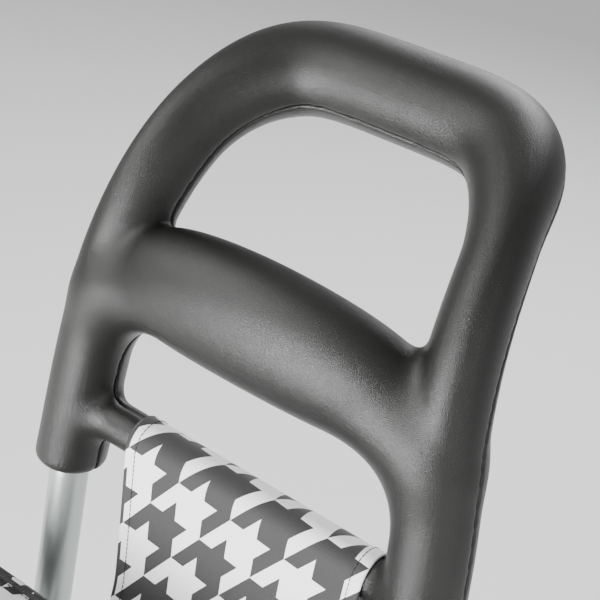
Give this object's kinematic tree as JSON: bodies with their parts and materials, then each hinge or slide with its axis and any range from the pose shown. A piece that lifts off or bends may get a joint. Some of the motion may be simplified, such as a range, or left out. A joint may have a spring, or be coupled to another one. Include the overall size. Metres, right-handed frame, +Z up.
{
  "type": "shopping trolley on wheels",
  "caption": "Two-wheeled fabric shopping trolley with a moulded loop handle, aluminium tubes, hinged lid and folding platform.",
  "frame": {"origin": "on the ground, at the centre of the whole object's footprint", "axes": "+Z up; -Y is the bag's front, +Y the user's side; +X to the right when facing the bag's back from the front"},
  "size_m": [0.4774, 0.4422, 1.0512],
  "materials": {
    "handle_plastic": "fine moulded grain, satin",
    "tube_aluminium": "satin anodised",
    "zinc_steel": "zinc plated",
    "black_steel": "satin powder coat",
    "bracket_plastic": "moulded, matte",
    "cap_plastic": "semi gloss",
    "tyre_rubber": "solid rubber",
    "foot_rubber": "matte",
    "check_fabric": "woven, black and white houndstooth",
    "black_webbing": "woven webbing",
    "base_board": "plain sheet"
  },
  "bodies": {
    "frame": {"handle_front_shell": "handle_plastic", "handle_rear_shell": "handle_plastic", "tube_left": "tube_aluminium", "tube_right": "tube_aluminium", "cross_tube": "tube_aluminium", "handle_screw_1": "zinc_steel", "handle_screw_2": "zinc_steel", "handle_screw_3": "zinc_steel", "handle_screw_4": "zinc_steel", "axle": "zinc_steel", "axle_clip_left": "zinc_steel", "axle_clip_right": "zinc_steel", "pivot_pin_left": "zinc_steel", "pivot_pin_right": "zinc_steel", "zip_pull": "zinc_steel", "socket_rivet_left": "black_steel", "socket_rivet_right": "black_steel", "lower_bracket_left": "bracket_plastic", "lower_bracket_right": "bracket_plastic", "axle_sleeve_left": "bracket_plastic", "axle_sleeve_right": "bracket_plastic", "bag_body": "check_fabric", "hanging_sleeve": "check_fabric", "rear_pocket": "check_fabric", "strap_patch": "black_webbing", "tube_loop_left_lower": "black_webbing", "tube_loop_left_upper": "black_webbing", "tube_loop_right_lower": "black_webbing", "tube_loop_right_upper": "black_webbing", "bag_base_board": "base_board"},
    "wheel_left": {"wheel_left_tyre": "tyre_rubber", "wheel_left_rim": "bracket_plastic", "wheel_left_hub_cap": "cap_plastic"},
    "wheel_right": {"wheel_right_tyre": "tyre_rubber", "wheel_right_rim": "bracket_plastic", "wheel_right_hub_cap": "cap_plastic"},
    "platform": {"platform_frame": "black_steel", "platform_rod_1": "black_steel", "platform_rod_2": "black_steel", "platform_rod_3": "black_steel", "foot_pad_left": "foot_rubber", "foot_pad_right": "foot_rubber"},
    "lid": {"lid": "check_fabric", "lid_strap": "black_webbing"}
  },
  "joints": [
    {"name": "wheel_left_spin", "type": "hinge", "parent": "frame", "child": "wheel_left", "pos_m": [-0.204, 0.07266, 0.0825], "axis": [1, 0, 0], "continuous": true},
    {"name": "wheel_right_spin", "type": "hinge", "parent": "frame", "child": "wheel_right", "pos_m": [0.204, 0.07266, 0.0825], "axis": [1, 0, 0], "continuous": true},
    {"name": "platform_fold", "type": "hinge", "parent": "frame", "child": "platform", "pos_m": [0, -0.04091, 0.09243], "axis": [-1, 0, 0], "range_deg": [0, 85], "deforming": ["bag_body", "bag_base_board"]},
    {"name": "lid_open", "type": "hinge", "parent": "frame", "child": "lid", "pos_m": [0, 0.06668, 0.76562], "axis": [-1, 0, 0], "range_deg": [0, 84]}
  ]
}
